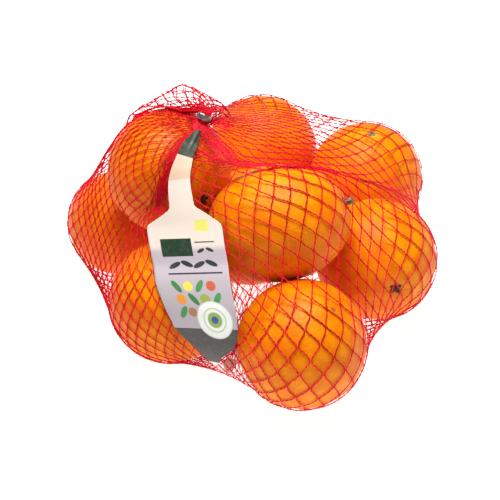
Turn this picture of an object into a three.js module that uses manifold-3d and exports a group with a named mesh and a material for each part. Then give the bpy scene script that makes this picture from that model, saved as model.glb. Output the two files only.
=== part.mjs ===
// A net of oranges: nine fruit in a knitted tube that is gathered and clipped at both ends, with a
// paper label whose straps run into the clips. Millimetres, +Z up, the ground at z = 0.
import * as THREE from 'three';
import { mergeVertices } from 'three/addons/utils/BufferGeometryUtils.js';
import Module from 'manifold-3d';

const wasm = await Module();
wasm.setup();

// ---- Driving dimensions ----

// Each fruit: its centre and radius. The oval one also has a longer half-axis and that axis's slope.
const FRUIT = [
  { name: 'left', at: [-83, 22, 34], radius: 34 },
  { name: 'front left', at: [-47, -56, 37.5], radius: 37.5 },
  { name: 'top left', at: [-49, -2, 93], radius: 37.5 },
  { name: 'back', at: [8, 94, 38], radius: 38 },
  { name: 'back right', at: [77, 64, 37.5], radius: 37.5 },
  { name: 'top, oval', at: [17, -40, 84], radius: 35, long: 42.5, slope: [1, 0.1, 0.12] },
  { name: 'right', at: [78, -19, 38], radius: 37.5 },
  { name: 'front', at: [30, -94, 38], radius: 37.8 },
  { name: 'middle', at: [0, 13, 37.5], radius: 37.5 },
];
const NET_SKIN = 1;

// Where the taut netting bridges the valley between two fruit: how far it sags below the straight line.
const BRIDGES = [
  { between: ['left', 'front left'], sag: 3 },
  { between: ['front left', 'front'], sag: 7 },
  { between: ['front', 'right'], sag: 9 },
  { between: ['right', 'back right'], sag: 7 },
  { between: ['back right', 'back'], sag: 4 },
  { between: ['left', 'top left'], sag: 6 },
  { between: ['left', 'back'], sag: 13 },
];

// The wrap starts as a ball round the pile and is drawn in until it lies taut. The dip is how far
// each round also sinks it towards the centre, so that it drops into the hollows between the fruit.
const WRAP_CENTRE = new THREE.Vector3(0, 5, 55);
const WRAP_START = 210;
const WRAP_DETAIL = 21;
const WRAP_ROUNDS = 800;
const WRAP_DIP = 0.17;
const GATHER_PULL = 0.1;

// The fruit press the netting flat on the ground wherever it would stand less than this above it.
const GROUND_PRESS = 0.5;

// The two gathers: where the netting is drawn together, and the way its neck, clip and tail point.
const TOP_GATHER = { at: new THREE.Vector3(-29.5, -3, 127.8), along: new THREE.Vector3(0.45, 0.35, 0.82) };
const UNDER_GATHER = { at: new THREE.Vector3(-9, -63, 17), along: new THREE.Vector3(0, 0.3, -1) };
const NECK = { rise: 3.5, radius: 3, throat: 4.5, throatDepth: 1.25, flare: 8, depth: 5, sides: 20 };
const CLIP = { width: 9, height: 6.5, length: 4, corner: 1.5, cornerSteps: 5 };
const GAP = 0.3;
const UNDER_RECESS = { top: 11, bottom: 18, pastGround: 1, sides: 28 };

// The loose tail beyond the top clip leans back and fans out behind the top left fruit. Angles are
// taken round that fruit, from level on the right over its top; heights are above its skin.
const TAIL = {
  lean: 40,
  from: 50,
  to: 143,
  low: 4,
  high: 15.8,
  riseFrom: 30,
  riseTo: 82,
  fallTo: 113,
  behind: 7,
  thickness: 1.2,
  rootRise: 8,
  clearance: 2.6,
  ruffle: 1.6,
  ruffles: 9,
  rays: 27,
  steps: 9,
};

// The short tail under the bag is a flat fan: its directions are measured from +X towards +Y.
const UNDER_TAIL = { root: 1, reach: 8, thickness: 1.2, from: 40, to: 140, drop: 1.5, rays: 9, steps: 4 };

// The label's centre line from the top clip down the front and under the bag, with the direction
// across it, then its die-cut outline: the distance along, and the reach to the left and right there.
const LABEL_ROUTE = [
  { at: [-31, -9.5, 128.2], across: [1, 0.3, -0.3] },
  { at: [-34.3, -18.2, 126.3], across: [1, 0, -0.3] },
  { at: [-37.6, -26.4, 122.4], across: [1, -0.1, -0.3] },
  { at: [-40.8, -36.5, 113.4], across: [1, 0, 0.15] },
  { at: [-39.2, -48.7, 101.2], across: [1, -0.15, 0.27] },
  { at: [-38, -55.5, 94], across: [1, -0.25, 0.24] },
  { at: [-36, -66, 85.6], across: [1, -0.25, 0.26] },
  { at: [-31.4, -81.5, 73], across: [1, -0.25, 0.25] },
  { at: [-26.4, -92.5, 62.5], across: [1, -0.3, 0.27] },
  { at: [-24.3, -99.5, 53.5], across: [1, -0.35, 0.28] },
  { at: [-22, -104, 45], across: [1, -0.4, 0.28] },
  { at: [-20.5, -105, 36], across: [1, -0.45, 0.2] },
  { at: [-19, -103.6, 28], across: [1, -0.45, 0.1] },
  { at: [-16, -97, 16], across: [1, -0.45, 0] },
  { at: [-13.5, -88, 9], across: [1, -0.45, 0] },
  { at: [-11, -77, 7.5], across: [1, -0.4, 0] },
];
const LABEL_OUTLINE = [
  [0, 1.7, 1.7],
  [9, 4.3, 4.3],
  [19, 4.7, 4.7],
  [33, 6.3, 6.3],
  [50, 7.3, 7.3],
  [59.5, 23.2, 23.2],
  [94, 22.7, 22.7],
  [110, 21.7, 21.7],
  [121, 19.3, 20.3],
  [126.5, 15.7, 18.5],
  [132, 10.9, 14.6],
  [137, 7, 6.6],
  [142, 3.5, 3.5],
  [1000, 3.5, 3.5],
];
const LABEL_THICKNESS = 0.5;
const LABEL_ROW = 4.5;
const LABEL_COLUMNS = 6;
const LABEL_CLEARANCE = 1.3;

// How far above and below a point the netting is looked for, to lay the label and tail on it.
const LIFT_REACH = 40;
const LIFT_DEPTH = 20;

const MERGE_WITHIN = 1e-4;

const COLOUR = { net: 0xd8202c, label: 0xf3e4d8, clip: 0xd9d6cf };

// ---- Geometry helpers ----

function bareGeometry(geometry) {
  geometry.deleteAttribute('normal');
  geometry.deleteAttribute('uv');
  return mergeVertices(geometry, MERGE_WITHIN);
}

function toSolid(geometry) {
  const vertProperties = new Float32Array(geometry.attributes.position.array);
  const triVerts = new Uint32Array(geometry.index.array);
  return new wasm.Manifold(new wasm.Mesh({ numProp: 3, vertProperties, triVerts }));
}

function toGeometry(solid) {
  const mesh = solid.getMesh();
  const geometry = new THREE.BufferGeometry();
  geometry.setAttribute('position', new THREE.BufferAttribute(mesh.vertProperties, 3));
  geometry.setIndex(new THREE.BufferAttribute(mesh.triVerts, 1));
  return geometry;
}

// A closed thin sheet round a grid of points: both faces are split alike, and a rim joins them.
function sheetGeometry(rows, thickness) {
  const columns = rows[0].length;
  const centre = new THREE.BufferGeometry().setFromPoints(rows.flat());
  const face = [];
  for (let row = 0; row + 1 < rows.length; row += 1) {
    for (let column = 0; column + 1 < columns; column += 1) {
      const corner = row * columns + column;
      face.push(corner, corner + 1, corner + columns);
      face.push(corner + 1, corner + columns + 1, corner + columns);
    }
  }
  centre.setIndex(face);
  centre.computeVertexNormals();
  const count = rows.length * columns;
  const points = rows.flat();
  const sides = [thickness / 2, -thickness / 2].flatMap((offset) =>
    points.map((point, i) => {
      const normal = new THREE.Vector3().fromBufferAttribute(centre.attributes.normal, i);
      return point.clone().addScaledVector(normal, offset);
    }),
  );
  const index = [...face];
  for (let corner = 0; corner < face.length; corner += 3) {
    index.push(face[corner] + count, face[corner + 2] + count, face[corner + 1] + count);
  }
  rimLoop(rows.length, columns).forEach((from, i, loop) => {
    const to = loop[(i + 1) % loop.length];
    index.push(from, from + count, to, to, from + count, to + count);
  });
  const geometry = new THREE.BufferGeometry().setFromPoints(sides);
  geometry.setIndex(index);
  return geometry;
}

// The grid's outer points in order, the way that leaves the first face on the outside.
function rimLoop(rowCount, columns) {
  const loop = [];
  for (let column = 0; column < columns - 1; column += 1) loop.push(column);
  for (let row = 0; row < rowCount - 1; row += 1) loop.push(row * columns + columns - 1);
  for (let column = columns - 1; column > 0; column -= 1) loop.push((rowCount - 1) * columns + column);
  for (let row = rowCount - 1; row > 0; row -= 1) loop.push(row * columns);
  return loop;
}

// Turns a shape made along +Z to point along a gather, with its base at a distance from the gather.
function placeAlong(geometry, gather, distance) {
  const direction = gather.along.clone().normalize();
  const turn = new THREE.Quaternion().setFromUnitVectors(new THREE.Vector3(0, 0, 1), direction);
  geometry.applyQuaternion(turn);
  const base = gather.at.clone().addScaledVector(direction, distance);
  return geometry.translate(base.x, base.y, base.z);
}

// ---- The fruit and the netting drawn over them ----

const FRUIT_SHAPES = FRUIT.map((fruit) => ({
  centre: new THREE.Vector3(...fruit.at),
  radius: fruit.radius + NET_SKIN,
  axis: new THREE.Vector3(...(fruit.slope ?? [1, 0, 0])).normalize(),
  stretch: ((fruit.long ?? fruit.radius) + NET_SKIN) / (fruit.radius + NET_SKIN),
}));

const fruitNamed = (name) => FRUIT_SHAPES[FRUIT.findIndex((fruit) => fruit.name === name)];

// Moves a point that is inside a fruit out to its surface, along the line from its centre.
function pushOut(point, shape) {
  const arm = point.clone().sub(shape.centre);
  const along = arm.dot(shape.axis);
  const squeezed = arm.clone().addScaledVector(shape.axis, along / shape.stretch - along);
  const depth = squeezed.length() / shape.radius;
  if (depth < 1) {
    point.copy(shape.centre).addScaledVector(arm, 1 / depth);
  }
}

const BRIDGE_SHAPES = BRIDGES.map(({ between, sag }) => {
  const [start, end] = between.map(fruitNamed);
  return { line: new THREE.Line3(start.centre, end.centre), radii: [start.radius, end.radius], sag };
});

// Moves a point that is inside the waisted bridge between two fruit straight out to its surface.
function liftOnBridge(point, { line, radii, sag }) {
  const part = line.closestPointToPointParameter(point, true);
  const foot = line.at(part, new THREE.Vector3());
  const waist = THREE.MathUtils.lerp(radii[0], radii[1], part) - sag * Math.sin(Math.PI * part);
  if (point.distanceTo(foot) < waist) {
    point.sub(foot).setLength(waist).add(foot);
  }
}

function neighbourLists(geometry) {
  const lists = Array.from({ length: geometry.attributes.position.count }, () => new Set());
  const index = geometry.index.array;
  for (let corner = 0; corner < index.length; corner += 3) {
    for (let step = 0; step < 3; step += 1) {
      const from = index[corner + step];
      const to = index[corner + ((step + 1) % 3)];
      lists[from].add(to);
      lists[to].add(from);
    }
  }
  return lists.map((list) => [...list]);
}

// The point of the starting ball that is drawn to a gather: the nearest one in its direction.
function drawnPoint(points, gather) {
  const direction = gather.at.clone().sub(WRAP_CENTRE).normalize();
  const reach = points.map((point) => point.clone().sub(WRAP_CENTRE).dot(direction));
  return reach.indexOf(Math.max(...reach));
}

function wrapGeometry() {
  const geometry = bareGeometry(new THREE.IcosahedronGeometry(WRAP_START, WRAP_DETAIL));
  const position = geometry.attributes.position;
  const around = neighbourLists(geometry);
  let points = [];
  for (let i = 0; i < position.count; i += 1) {
    points.push(new THREE.Vector3().fromBufferAttribute(position, i).add(WRAP_CENTRE));
  }
  const gathers = [TOP_GATHER, UNDER_GATHER];
  const drawn = new Map(gathers.map((gather) => [drawnPoint(points, gather), gather.at]));
  for (let round = 0; round < WRAP_ROUNDS; round += 1) {
    points = points.map((point, i) => {
      if (drawn.has(i)) {
        return point.lerp(drawn.get(i), GATHER_PULL);
      }
      const mean = new THREE.Vector3();
      around[i].forEach((j) => mean.addScaledVector(points[j], 1 / around[i].length));
      mean.sub(WRAP_CENTRE);
      mean.setLength(mean.length() - WRAP_DIP).add(WRAP_CENTRE);
      BRIDGE_SHAPES.forEach((bridge) => liftOnBridge(mean, bridge));
      FRUIT_SHAPES.forEach((shape) => pushOut(mean, shape));
      mean.z = Math.max(mean.z, 0);
      return mean;
    });
  }
  points.forEach((point, i) => position.setXYZ(i, point.x, point.y, point.z < GROUND_PRESS ? 0 : point.z));
  return geometry;
}

// The neck of a gather: a short trumpet that grows out of the netting and ends flat at the clip.
function neckGeometry(gather) {
  const profile = [
    new THREE.Vector2(0, -NECK.depth),
    new THREE.Vector2(NECK.flare, -NECK.depth),
    new THREE.Vector2(NECK.throat, -NECK.throatDepth),
    new THREE.Vector2(NECK.radius, NECK.rise / 2),
    new THREE.Vector2(NECK.radius, NECK.rise),
    new THREE.Vector2(0, NECK.rise),
  ];
  const lathe = bareGeometry(new THREE.LatheGeometry(profile, NECK.sides));
  return placeAlong(lathe.rotateX(Math.PI / 2), gather, 0);
}

// The hollow under the bag that the lower gather is drawn up into.
function recessGeometry() {
  const { top, bottom, pastGround, sides } = UNDER_RECESS;
  const depth = UNDER_GATHER.at.z + pastGround;
  const cone = new THREE.CylinderGeometry(top, bottom, depth, sides);
  cone.rotateX(Math.PI / 2);
  cone.translate(UNDER_GATHER.at.x, UNDER_GATHER.at.y, UNDER_GATHER.at.z - depth / 2);
  return bareGeometry(cone);
}

function netGeometry() {
  let solid = toSolid(wrapGeometry()).subtract(toSolid(recessGeometry()));
  [TOP_GATHER, UNDER_GATHER].forEach((gather) => {
    solid = solid.add(toSolid(neckGeometry(gather)));
  });
  return toGeometry(solid);
}

// ---- Clips, tails and label ----

// How far the netting stands above a point, along an outward direction.
function netHeight(point, outward, netMesh) {
  const start = point.clone().addScaledVector(outward, LIFT_REACH);
  const ray = new THREE.Raycaster(start, outward.clone().negate(), 0, LIFT_REACH + LIFT_DEPTH);
  const hit = ray.intersectObject(netMesh)[0];
  return hit ? LIFT_REACH - hit.distance : -LIFT_REACH;
}

function clipGeometry(gather) {
  const inner = { x: CLIP.width / 2 - CLIP.corner, y: CLIP.height / 2 - CLIP.corner };
  const outline = new THREE.Shape();
  outline.absarc(inner.x, inner.y, CLIP.corner, 0, Math.PI / 2);
  outline.absarc(-inner.x, inner.y, CLIP.corner, Math.PI / 2, Math.PI);
  outline.absarc(-inner.x, -inner.y, CLIP.corner, Math.PI, 1.5 * Math.PI);
  outline.absarc(inner.x, -inner.y, CLIP.corner, 1.5 * Math.PI, 2 * Math.PI);
  const cut = { depth: CLIP.length, bevelEnabled: false, curveSegments: CLIP.cornerSteps };
  const block = new THREE.ExtrudeGeometry(outline, cut);
  return placeAlong(bareGeometry(block), gather, NECK.rise + GAP);
}

function tailHeight(angle) {
  const rise = THREE.MathUtils.smoothstep(angle, TAIL.riseFrom, TAIL.riseTo);
  const fall = THREE.MathUtils.smoothstep(angle, TAIL.riseTo, TAIL.fallTo);
  return THREE.MathUtils.lerp(TAIL.low, TAIL.high, rise - fall);
}

function tailGeometry(netMesh) {
  const fruit = fruitNamed('top left');
  const lean = THREE.MathUtils.degToRad(TAIL.lean);
  const rising = new THREE.Vector3(0, Math.sin(lean), Math.cos(lean));
  const backward = new THREE.Vector3(0, Math.cos(lean), -Math.sin(lean));
  const side = new THREE.Vector3(1, 0, 0);
  const direction = TOP_GATHER.along.clone().normalize();
  const root = TOP_GATHER.at.clone();
  root.addScaledVector(direction, NECK.rise + CLIP.length + 3 * GAP + TAIL.thickness / 2);
  const rootSide = side.clone().projectOnPlane(direction).setLength(NECK.radius);
  const rows = [];
  for (let ray = 0; ray < TAIL.rays; ray += 1) {
    const part = ray / (TAIL.rays - 1);
    const angle = THREE.MathUtils.lerp(TAIL.from, TAIL.to, part);
    const turn = THREE.MathUtils.degToRad(angle);
    const outward = side.clone().multiplyScalar(Math.cos(turn)).addScaledVector(rising, Math.sin(turn));
    const end = fruit.centre.clone().addScaledVector(outward, fruit.radius + tailHeight(angle));
    end.addScaledVector(backward, TAIL.behind + TAIL.ruffle * Math.sin(2 * Math.PI * TAIL.ruffles * part));
    const start = root.clone().addScaledVector(rootSide, 1 - 2 * part);
    const bend = start.clone().addScaledVector(direction, TAIL.rootRise);
    const points = new THREE.QuadraticBezierCurve3(start, bend, end).getPoints(TAIL.steps);
    points.slice(1).forEach((point) => {
      const radial = point.clone().sub(fruit.centre).normalize();
      point.addScaledVector(radial, Math.max(netHeight(point, radial, netMesh) + TAIL.clearance, 0));
    });
    rows.push(points);
  }
  return sheetGeometry(rows, TAIL.thickness);
}

function underTailGeometry() {
  const direction = UNDER_GATHER.along.clone().normalize();
  const root = UNDER_GATHER.at.clone();
  root.addScaledVector(direction, NECK.rise + CLIP.length + 2 * GAP + UNDER_TAIL.thickness / 2);
  const rows = [];
  for (let ray = 0; ray < UNDER_TAIL.rays; ray += 1) {
    const angle = THREE.MathUtils.lerp(UNDER_TAIL.from, UNDER_TAIL.to, ray / (UNDER_TAIL.rays - 1));
    const turn = THREE.MathUtils.degToRad(angle);
    const spoke = new THREE.Vector3(Math.cos(turn), Math.sin(turn), 0);
    const row = [];
    for (let step = 0; step <= UNDER_TAIL.steps; step += 1) {
      const part = step / UNDER_TAIL.steps;
      const point = root.clone().addScaledVector(spoke, UNDER_TAIL.root + UNDER_TAIL.reach * part);
      point.z -= UNDER_TAIL.drop * part;
      row.push(point);
    }
    rows.push(row);
  }
  return sheetGeometry(rows, UNDER_TAIL.thickness);
}

// The label's reach to each side at a distance along it.
function labelReach(distance) {
  const next = LABEL_OUTLINE.findIndex(([along]) => along > distance);
  const [from, to] = [LABEL_OUTLINE[next - 1], LABEL_OUTLINE[next]];
  return [1, 2].map((side) => THREE.MathUtils.mapLinear(distance, from[0], to[0], from[side], to[side]));
}

// Distances along the label: its outline's corners, with even steps between them.
function labelStops(length) {
  const corners = LABEL_OUTLINE.map(([along]) => Math.min(along, length));
  const stops = [length];
  for (let i = 0; i + 1 < corners.length; i += 1) {
    const count = Math.ceil((corners[i + 1] - corners[i]) / LABEL_ROW);
    for (let k = 0; k < count; k += 1) {
      stops.push(THREE.MathUtils.lerp(corners[i], corners[i + 1], k / count));
    }
  }
  return stops.sort((a, b) => a - b);
}

// The label is stiff across: each row is straight, and lies on the highest netting under it.
function labelGeometry(netMesh) {
  const curveOf = (part) => new THREE.CatmullRomCurve3(part.map((values) => new THREE.Vector3(...values)));
  const route = curveOf(LABEL_ROUTE.map((station) => station.at));
  const across = curveOf(LABEL_ROUTE.map((station) => station.across));
  const rows = labelStops(route.getLength()).map((distance) => {
    const t = route.getUtoTmapping(0, distance);
    const sideways = across.getPoint(t).normalize();
    const outward = new THREE.Vector3().crossVectors(route.getTangent(t), sideways).normalize();
    const [left, right] = labelReach(distance);
    const row = [];
    for (let column = 0; column <= LABEL_COLUMNS; column += 1) {
      const offset = THREE.MathUtils.lerp(-left, right, column / LABEL_COLUMNS);
      row.push(route.getPoint(t).addScaledVector(sideways, offset));
    }
    const highest = Math.max(...row.map((point) => netHeight(point, outward, netMesh)));
    const lift = Math.max(highest + LABEL_CLEARANCE, 0);
    return row.map((point) => point.addScaledVector(outward, lift));
  });
  return sheetGeometry(rows, LABEL_THICKNESS);
}

// ---- The object ----

const group = new THREE.Group();

function addMesh(name, geometry, color, roughness, metalness = 0) {
  const mesh = new THREE.Mesh(geometry, new THREE.MeshStandardMaterial({ color, roughness, metalness }));
  mesh.name = name;
  group.add(mesh);
  return mesh;
}

const netMesh = addMesh('net_of_oranges', netGeometry(), COLOUR.net, 0.6);
addMesh('top_clip', clipGeometry(TOP_GATHER), COLOUR.clip, 0.4, 0.8);
addMesh('under_clip', clipGeometry(UNDER_GATHER), COLOUR.clip, 0.4, 0.8);
addMesh('top_tail', tailGeometry(netMesh), COLOUR.net, 0.6);
addMesh('under_tail', underTailGeometry(), COLOUR.net, 0.6);
addMesh('label', labelGeometry(netMesh), COLOUR.label, 0.5);

// The origin is at the middle of the whole object's footprint.
group.updateMatrixWorld(true);
const footprint = new THREE.Box3().setFromObject(group);
group.position.set(-(footprint.min.x + footprint.max.x) / 2, -(footprint.min.y + footprint.max.y) / 2, 0);

export default group;
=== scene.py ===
"""Looks of the net of oranges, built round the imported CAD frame. Lengths in the tables are in
millimetres in the part's own frame: +X right, +Y away from the label side, +Z up."""

import math

import bpy
import numpy as np
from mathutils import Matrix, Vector
from mathutils.bvhtree import BVHTree


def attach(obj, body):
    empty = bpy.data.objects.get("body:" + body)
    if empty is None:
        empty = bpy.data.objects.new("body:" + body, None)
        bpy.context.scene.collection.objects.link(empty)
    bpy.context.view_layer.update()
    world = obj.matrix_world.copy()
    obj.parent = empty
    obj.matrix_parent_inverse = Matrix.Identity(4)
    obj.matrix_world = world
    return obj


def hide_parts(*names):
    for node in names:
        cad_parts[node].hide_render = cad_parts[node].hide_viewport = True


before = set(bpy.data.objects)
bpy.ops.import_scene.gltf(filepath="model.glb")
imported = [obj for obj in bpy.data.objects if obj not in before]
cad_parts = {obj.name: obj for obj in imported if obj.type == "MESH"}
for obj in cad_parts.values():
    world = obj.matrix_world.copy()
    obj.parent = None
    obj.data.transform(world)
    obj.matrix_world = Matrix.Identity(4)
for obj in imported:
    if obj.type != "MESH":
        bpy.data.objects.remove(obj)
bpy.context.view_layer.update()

MM = 0.001
rng = np.random.default_rng(11)

# ---- The pile: each fruit's centre, radius, stem direction and what shows at its stem ----

FRUIT = {
    "left": dict(at=(-82, 22, 34), radius=34, stem=(0.34, 0.21, -0.92), bud="button", tone=0.35),
    "front_left": dict(at=(-46, -56, 37.5), radius=37.5, stem=(-0.3, 0.5, -0.8), bud="button", tone=0.55),
    "top_left": dict(at=(-48, -2, 93), radius=37.5, stem=(0.585, -0.81, 0.04), bud="star", tone=0.4),
    "back": dict(at=(9, 94, 38), radius=38, stem=(0.2, 0.9, 0.4), bud="button", tone=0.45),
    "back_right": dict(at=(78, 64, 37.5), radius=37.5, stem=(0.06, 0.02, 1.0), bud="button", tone=0.7),
    "top_oval": dict(
        at=(18, -40, 84), radius=35, long=42.5, slope=(1, 0.1, 0.12), stem=(1, 0.06, 0.4), bud="stub", tone=0.9
    ),
    "right": dict(at=(79, -19, 38), radius=37.5, stem=(0.25, -0.95, 0.18), bud="star", tone=0.8),
    "front": dict(at=(31, -94, 38), radius=37.8, stem=(-0.45, 0.17, -0.87), bud="button", tone=0.75),
    "middle": dict(at=(1, 13, 37.5), radius=37.5, stem=(0.5, 0.5, 0.7), bud="button", tone=0.5),
}
# Two fruit that the net spans tautly, and how far the span sags at its middle.
BRIDGES = (
    ("left", "front_left", 3), ("front_left", "front", 7), ("front", "right", 9), ("right", "back_right", 7),
    ("back_right", "back", 4), ("left", "top_left", 6), ("left", "back", 13),
)

TOP_GATHER = dict(at=np.array([-28.5, -3, 127.8]), along=np.array([0.45, 0.35, 0.82]))
UNDER_GATHER = dict(at=np.array([-8.0, -63, 17]), along=np.array([0, 0.3, -1]))
NECK_RISE = 3.5
NECK_RADIUS = 3.0
CLIP = dict(start=3.8, width=9, height=6.5, length=4)
PILE_MIDDLE = np.array([1.0, 0, 55])

# ---- Helpers ----


def unit(vector):
    vector = np.asarray(vector, float)
    return vector / (np.linalg.norm(vector, axis=-1, keepdims=True) + 1e-9)


def fruit_form(name):
    fruit = FRUIT[name]
    stretch = fruit.get("long", fruit["radius"]) / fruit["radius"]
    return np.array(fruit["at"], float), float(fruit["radius"]), unit(fruit.get("slope", (1, 0, 0))), stretch


def push_out(points, lift):
    """Moves points inside a fruit, grown by lift, out to its skin."""
    for name in FRUIT:
        centre, radius, axis, stretch = fruit_form(name)
        grown = radius + lift
        arm = points - centre
        along = arm @ axis
        squeezed = arm + axis * (along / stretch - along)[..., None]
        depth = np.linalg.norm(squeezed, axis=-1) / grown
        inside = depth < 1
        points[inside] = centre + arm[inside] / depth[inside][..., None]
    return points


def lift_on_bridges(points, lift):
    """Moves points inside the taut spans between two fruit straight out to their surface."""
    for start_name, end_name, sag in BRIDGES:
        start, start_radius = fruit_form(start_name)[:2]
        end, end_radius = fruit_form(end_name)[:2]
        line = end - start
        part = np.clip((points - start) @ line / (line @ line), 0, 1)
        foot = start + part[..., None] * line
        waist = start_radius + (end_radius - start_radius) * part - sag * np.sin(np.pi * part) + lift
        arm = points - foot
        reach = np.linalg.norm(arm, axis=-1)
        inside = reach < waist
        points[inside] = foot[inside] + arm[inside] * (waist[inside] / reach[inside])[..., None]
    return points


def ripple(places, waves, low, high):
    """Smooth noise from -1 to 1 over an array of places: plane waves in random directions."""
    total = np.zeros(places.shape[:-1])
    for _ in range(waves):
        wave = unit(rng.standard_normal(places.shape[-1])) * rng.uniform(low, high)
        total += np.sin(places @ wave + rng.uniform(0, 2 * np.pi))
    return total / math.sqrt(waves)


def smooth_step(value, low, high):
    part = np.clip((value - low) / (high - low), 0, 1)
    return part * part * (3 - 2 * part)


def gather_axes(gather):
    axis = unit(gather["along"])
    across = unit(np.cross(axis, (0.3, -1, 0.2)))
    return axis, across, np.cross(axis, across)


def skin_faces(rings, columns):
    """Faces of a closed skin whose points are one pole, rings of equal length, and the other pole."""
    last = 1 + rings * columns
    base = last - columns
    faces = []
    for column in range(columns):
        after = (column + 1) % columns
        faces.append((0, 1 + column, 1 + after))
        for row in range(rings - 1):
            here = 1 + row * columns
            below = here + columns
            faces.append((here + column, below + column, below + after, here + after))
        faces.append((base + column, last, base + after))
    return faces


def new_object(name, vertices, faces, material):
    mesh = bpy.data.meshes.new(name)
    mesh.from_pydata((np.asarray(vertices) * MM).tolist(), [], [tuple(face) for face in faces])
    mesh.update()
    mesh.shade_smooth()
    piece = bpy.data.objects.new(name, mesh)
    bpy.context.scene.collection.objects.link(piece)
    piece.data.materials.append(material)
    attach(piece, "root")
    return piece


def store(piece, name, values):
    """Keeps a number for each vertex, for the material to read."""
    layer = piece.data.attributes.new(name, "FLOAT", "POINT")
    layer.data.foreach_set("value", np.asarray(values, float).ravel())


# ---- Materials ----


class Nodes:
    """A new material, with short ways to add nodes to it."""

    def __init__(self, name, roughness):
        self.material = bpy.data.materials.new(name)
        self.material.use_nodes = True
        self.tree = self.material.node_tree
        self.shader = self.tree.nodes["Principled BSDF"]
        self.shader.inputs["Roughness"].default_value = roughness
        self.place = self.tree.nodes.new("ShaderNodeTexCoord").outputs["Object"]

    def join(self, value, socket):
        if isinstance(value, (int, float)):
            socket.default_value = value
        elif isinstance(value, tuple):
            socket.default_value = (*value, 1)
        else:
            self.tree.links.new(value, socket)

    def noise(self, size, detail=3, roughness=0.55, place=None):
        node = self.tree.nodes.new("ShaderNodeTexNoise")
        self.tree.links.new(place or self.place, node.inputs["Vector"])
        node.inputs["Scale"].default_value = 1 / (size * MM)
        node.inputs["Detail"].default_value = detail
        node.inputs["Roughness"].default_value = roughness
        return node.outputs["Fac"]

    def cells(self, size):
        node = self.tree.nodes.new("ShaderNodeTexVoronoi")
        self.tree.links.new(self.place, node.inputs["Vector"])
        node.inputs["Scale"].default_value = 1 / (size * MM)
        return node.outputs["Distance"]

    def attribute(self, name):
        node = self.tree.nodes.new("ShaderNodeAttribute")
        node.attribute_name = name
        return node.outputs["Fac"]

    def math(self, operation, first, second=0.0, third=None):
        node = self.tree.nodes.new("ShaderNodeMath")
        node.operation = operation
        self.join(first, node.inputs[0])
        self.join(second, node.inputs[1])
        if third is not None:
            self.join(third, node.inputs[2])
        return node.outputs[0]

    def fade(self, value, low, high, to_low, to_high):
        node = self.tree.nodes.new("ShaderNodeMapRange")
        node.interpolation_type = "SMOOTHSTEP"
        self.join(value, node.inputs["Value"])
        for socket, amount in (("From Min", low), ("From Max", high), ("To Min", to_low), ("To Max", to_high)):
            node.inputs[socket].default_value = amount
        return node.outputs["Result"]

    def mix(self, amount, first, second):
        node = self.tree.nodes.new("ShaderNodeMix")
        node.data_type = "RGBA"
        self.join(amount, node.inputs[0])
        self.join(first, node.inputs[6])
        self.join(second, node.inputs[7])
        return node.outputs[2]

    def bump(self, height, depth, strength=1.0, under=None):
        node = self.tree.nodes.new("ShaderNodeBump")
        node.inputs["Distance"].default_value = depth * MM
        node.inputs["Strength"].default_value = strength
        self.tree.links.new(height, node.inputs["Height"])
        if under is not None:
            self.tree.links.new(under, node.inputs["Normal"])
        return node.outputs["Normal"]

    def finish(self, color, roughness=None, normal=None, **fixed):
        self.tree.links.new(color, self.shader.inputs["Base Color"])
        if roughness is not None:
            self.tree.links.new(roughness, self.shader.inputs["Roughness"])
        if normal is not None:
            self.tree.links.new(normal, self.shader.inputs["Normal"])
        for name, value in fixed.items():
            self.shader.inputs[name.replace("_", " ")].default_value = value
        return self.material


def blend(first, second, part):
    return tuple(a + (b - a) * part for a, b in zip(first, second))


DEEP_PEEL = dict(dark=(0.72, 0.115, 0.0005), light=(0.84, 0.175, 0.0008))
PALE_PEEL = dict(dark=(0.84, 0.205, 0.0006), light=(0.94, 0.315, 0.001))


def peel_material(name, tone):
    """Waxy pored peel: tone 0 is the deepest orange, 1 the palest."""
    nodes = Nodes("peel_" + name, 0.4)
    dark = blend(DEEP_PEEL["dark"], PALE_PEEL["dark"], tone)
    light = blend(DEEP_PEEL["light"], PALE_PEEL["light"], tone)
    color = nodes.mix(nodes.fade(nodes.noise(14), 0.35, 0.68, 0, 1), dark, light)
    pores = nodes.cells(1.5)
    color = nodes.mix(nodes.fade(pores, 0.0, 0.3, 0.35, 0), color, blend(dark, (0.5, 0.09, 0.002), 0.5))
    freckles = nodes.fade(nodes.noise(2.6, 2), 0.68, 0.78, 0, 0.4)
    color = nodes.mix(freckles, color, (0.45, 0.13, 0.01))
    color = nodes.mix(nodes.fade(nodes.attribute("stem"), 2.5, 9, 0.5, 0), color, (0.72, 0.36, 0.02))
    color = nodes.mix(nodes.fade(nodes.attribute("scar"), 0.8, 2.4, 0.85, 0), color, (0.26, 0.11, 0.02))
    normal = nodes.bump(pores, 0.35, 0.55, nodes.bump(nodes.noise(5, 3), 0.5, 0.35))
    rough = nodes.fade(nodes.noise(9), 0.3, 0.7, 0.33, 0.5)
    return nodes.finish(
        color,
        rough,
        normal,
        Specular_IOR_Level=0.12,
        Subsurface_Weight=0.04,
        Subsurface_Radius=(1.0, 0.35, 0.1),
        Subsurface_Scale=0.003,
    )


def strand_material():
    """Translucent crimson plastic thread."""
    nodes = Nodes("strand", 0.38)
    color = nodes.mix(nodes.fade(nodes.noise(24), 0.35, 0.65, 0, 1), (0.64, 0.003, 0.014), (0.86, 0.006, 0.030))
    color = nodes.mix(nodes.fade(nodes.noise(0.7, 2), 0.5, 0.85, 0, 0.3), color, (0.88, 0.03, 0.10))
    rough = nodes.fade(nodes.noise(1.5), 0.3, 0.7, 0.28, 0.5)
    normal = nodes.bump(nodes.noise(0.35, 2), 0.12, 0.5)
    return nodes.finish(color, rough, normal, Specular_IOR_Level=0.12, Subsurface_Weight=0.2, Subsurface_Scale=0.0006)


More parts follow.
